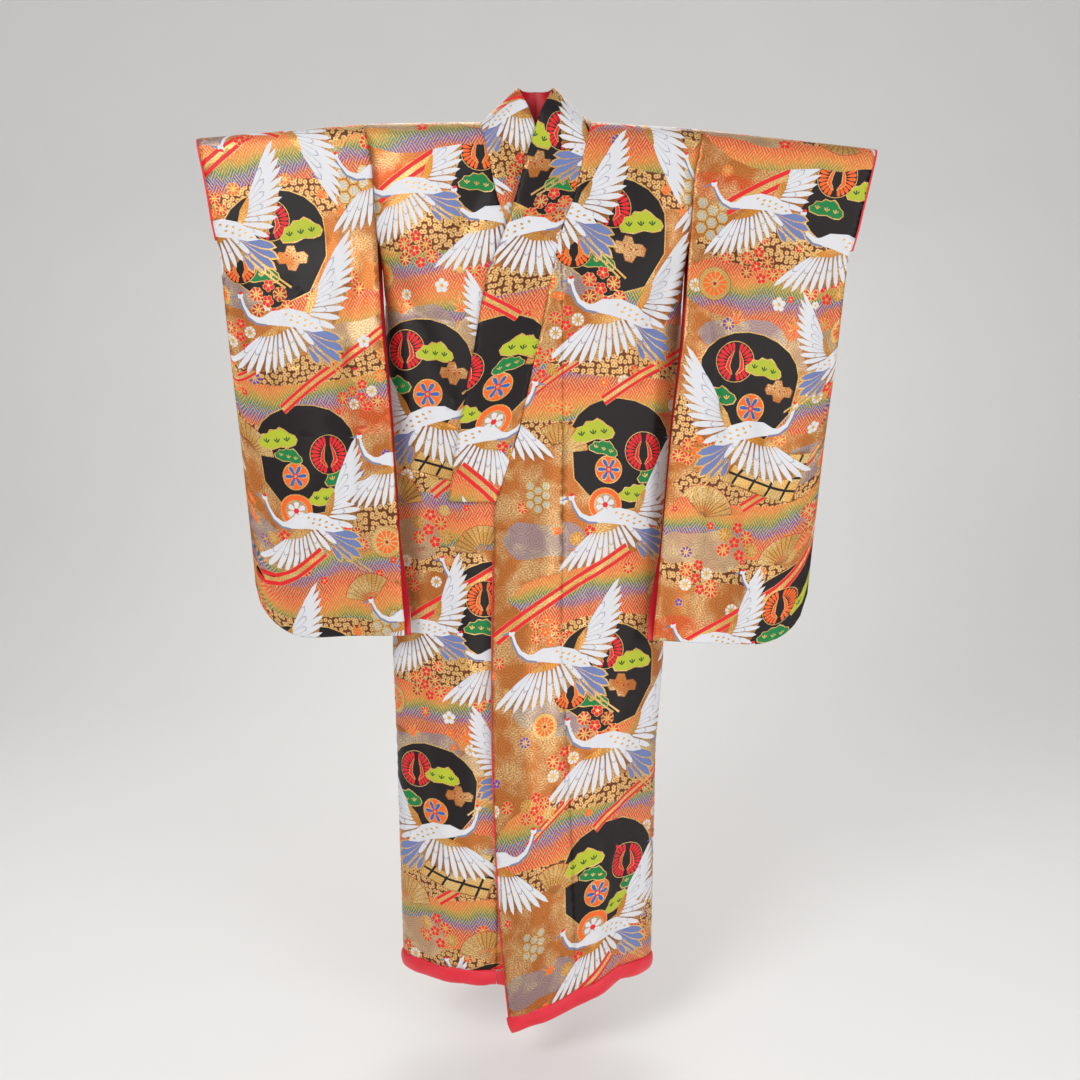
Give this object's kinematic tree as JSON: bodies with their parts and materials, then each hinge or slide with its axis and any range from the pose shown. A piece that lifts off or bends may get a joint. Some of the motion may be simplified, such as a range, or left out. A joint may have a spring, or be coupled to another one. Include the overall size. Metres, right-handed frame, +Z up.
{
  "type": "uchikake wedding kimono",
  "caption": "Long figured-brocade wedding kimono with deep hanging sleeves, wide collar, overlapping fronts and a padded red hem roll, held up and hollow.",
  "frame": {"origin": "middle of the shoulder line at the neck, where whatever carries the garment holds it up", "axes": "+Z up, the front of the garment faces -Y, and the sleeves spread along X"},
  "size_m": [1.3806, 0.1997, 2.0003],
  "materials": {
    "figured_brocade": "satin gold brocade woven with cranes, pines and flowers",
    "red_silk": "plain red silk lining"
  },
  "bodies": {
    "root": {"body_panel_left": "figured_brocade", "body_panel_right": "figured_brocade", "okumi_left": "figured_brocade", "okumi_right": "figured_brocade", "collar_left": "figured_brocade", "collar_right": "figured_brocade", "sleeve_left": "figured_brocade", "sleeve_right": "figured_brocade", "hem_roll_back_left": "red_silk", "hem_roll_back_right": "red_silk", "hem_roll_front_left": "red_silk", "hem_roll_front_right": "red_silk", "hem_roll_okumi_left": "red_silk", "hem_roll_okumi_right": "red_silk", "cuff_piping_left": "red_silk", "cuff_piping_right": "red_silk", "front_piping_left": "red_silk", "front_piping_right": "red_silk"}
  },
  "joints": []
}
